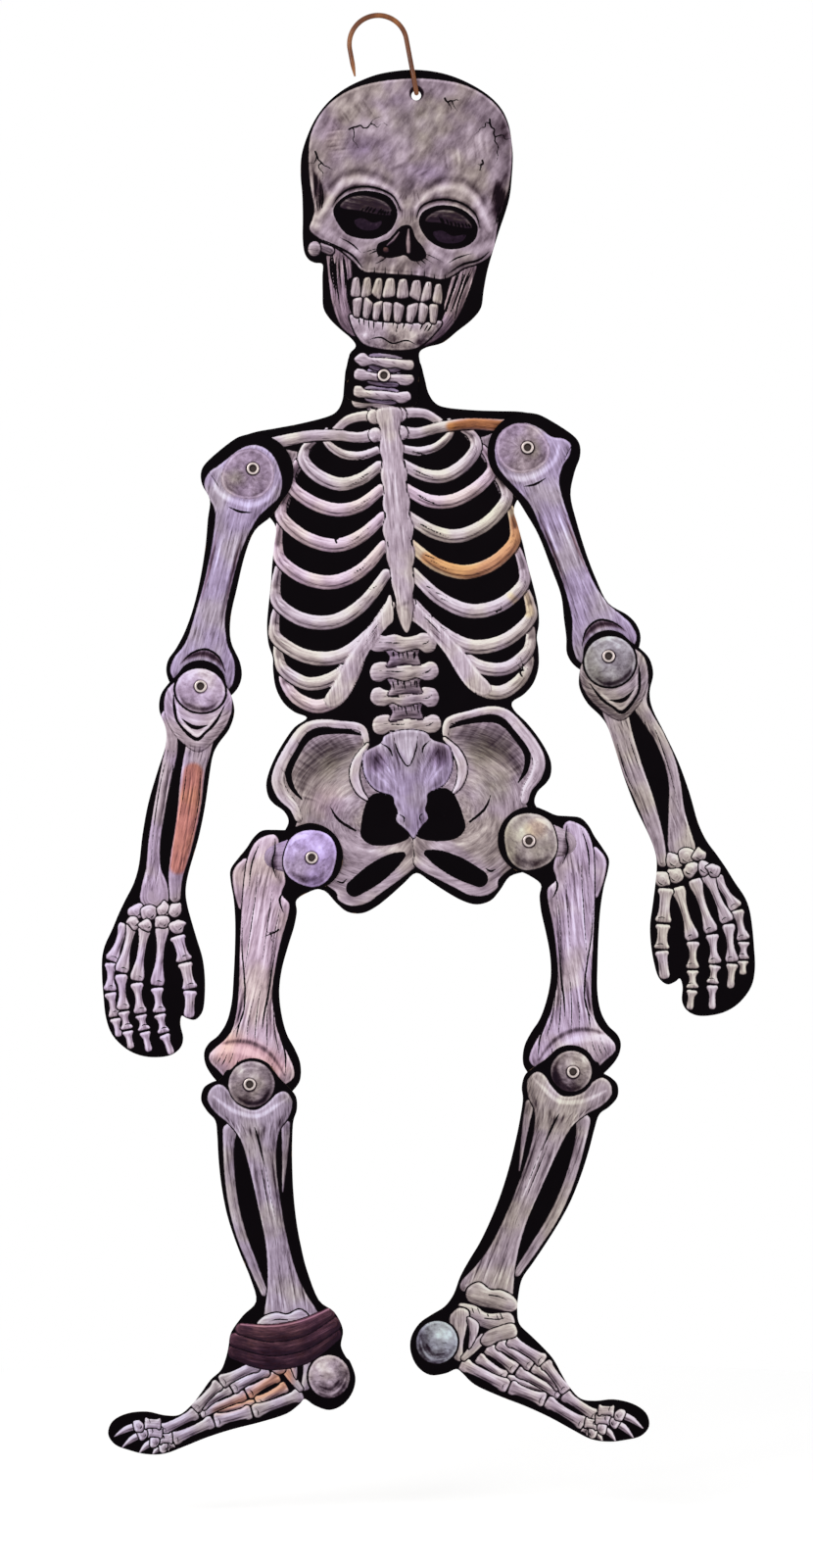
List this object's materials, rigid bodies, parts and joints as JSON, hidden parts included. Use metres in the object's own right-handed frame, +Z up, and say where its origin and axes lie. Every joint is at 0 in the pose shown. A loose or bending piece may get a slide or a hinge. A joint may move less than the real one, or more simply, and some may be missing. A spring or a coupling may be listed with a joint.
{
  "type": "jointed cardboard skeleton",
  "caption": "Jointed die-cut cardboard skeleton that hangs from a bent wire hook, with a head, arms and legs that turn on hollow eyelets.",
  "frame": {"origin": "top of the hook's bend, on the inside, where the hook bears on its nail", "axes": "+Z up the hanging figure, -Y out of the printed front, +X to the viewer's right"},
  "size_m": [0.5002, 0.0088, 1.1034],
  "materials": {
    "chipboard": "matte grey-brown chipboard",
    "printed_paper": "semi-gloss varnished print, lavender-grey bones on black",
    "eyelet_metal": "bright pressed metal",
    "lacquered_wire": "glossy brown lacquer"
  },
  "bodies": {
    "hook": {"hanging_hook": "lacquered_wire"},
    "head": {"skull_board": "chipboard", "skull_print": "printed_paper", "neck_eyelet": "eyelet_metal"},
    "torso": {"torso_board": "chipboard", "torso_print": "printed_paper"},
    "left_upper_arm": {"left_upper_arm_board": "chipboard", "left_upper_arm_print": "printed_paper", "left_shoulder_eyelet": "eyelet_metal"},
    "left_forearm": {"left_forearm_board": "chipboard", "left_forearm_print": "printed_paper", "left_elbow_eyelet": "eyelet_metal"},
    "left_thigh": {"left_thigh_board": "chipboard", "left_thigh_print": "printed_paper", "left_hip_eyelet": "eyelet_metal"},
    "left_shin": {"left_shin_board": "chipboard", "left_shin_print": "printed_paper", "left_knee_eyelet": "eyelet_metal"},
    "right_upper_arm": {"right_upper_arm_board": "chipboard", "right_upper_arm_print": "printed_paper", "right_shoulder_eyelet": "eyelet_metal"},
    "right_forearm": {"right_forearm_board": "chipboard", "right_forearm_print": "printed_paper", "right_elbow_eyelet": "eyelet_metal"},
    "right_thigh": {"right_thigh_board": "chipboard", "right_thigh_print": "printed_paper", "right_hip_eyelet": "eyelet_metal"},
    "right_shin": {"right_shin_board": "chipboard", "right_shin_print": "printed_paper", "right_knee_eyelet": "eyelet_metal"}
  },
  "joints": [
    {"name": "hook_swing", "type": "hinge", "parent": "hook", "child": "head", "pos_m": [0.02942, 0.003, -0.05738], "axis": [0, 1, 0], "range_deg": [-35, 35]},
    {"name": "neck_pivot", "type": "hinge", "parent": "head", "child": "torso", "pos_m": [0.00442, 0.003, -0.27344], "axis": [0, 1, 0], "range_deg": [-20, 20]},
    {"name": "left_shoulder", "type": "hinge", "parent": "torso", "child": "left_upper_arm", "pos_m": [-0.0959, 0.003, -0.34485], "axis": [0, 1, 0], "range_deg": [-45, 135]},
    {"name": "left_elbow", "type": "hinge", "parent": "left_upper_arm", "child": "left_forearm", "pos_m": [-0.13594, 0.003, -0.51161], "axis": [0, 1, 0], "continuous": true},
    {"name": "left_hip", "type": "hinge", "parent": "torso", "child": "left_thigh", "pos_m": [-0.05091, 0.003, -0.64278], "axis": [0, 1, 0], "range_deg": [-4, 80]},
    {"name": "left_knee", "type": "hinge", "parent": "left_thigh", "child": "left_shin", "pos_m": [-0.09841, 0.003, -0.8164], "axis": [0, 1, 0], "range_deg": [-8, 120]},
    {"name": "right_shoulder", "type": "hinge", "parent": "torso", "child": "right_upper_arm", "pos_m": [0.11448, 0.003, -0.32866], "axis": [0, 1, 0], "range_deg": [-135, 45]},
    {"name": "right_elbow", "type": "hinge", "parent": "right_upper_arm", "child": "right_forearm", "pos_m": [0.1765, 0.003, -0.48856], "axis": [0, 1, 0], "continuous": true},
    {"name": "right_hip", "type": "hinge", "parent": "torso", "child": "right_thigh", "pos_m": [0.1156, 0.003, -0.62996], "axis": [0, 1, 0], "range_deg": [-80, 4]},
    {"name": "right_knee", "type": "hinge", "parent": "right_thigh", "child": "right_shin", "pos_m": [0.14933, 0.003, -0.80678], "axis": [0, 1, 0], "range_deg": [-120, 20]}
  ]
}
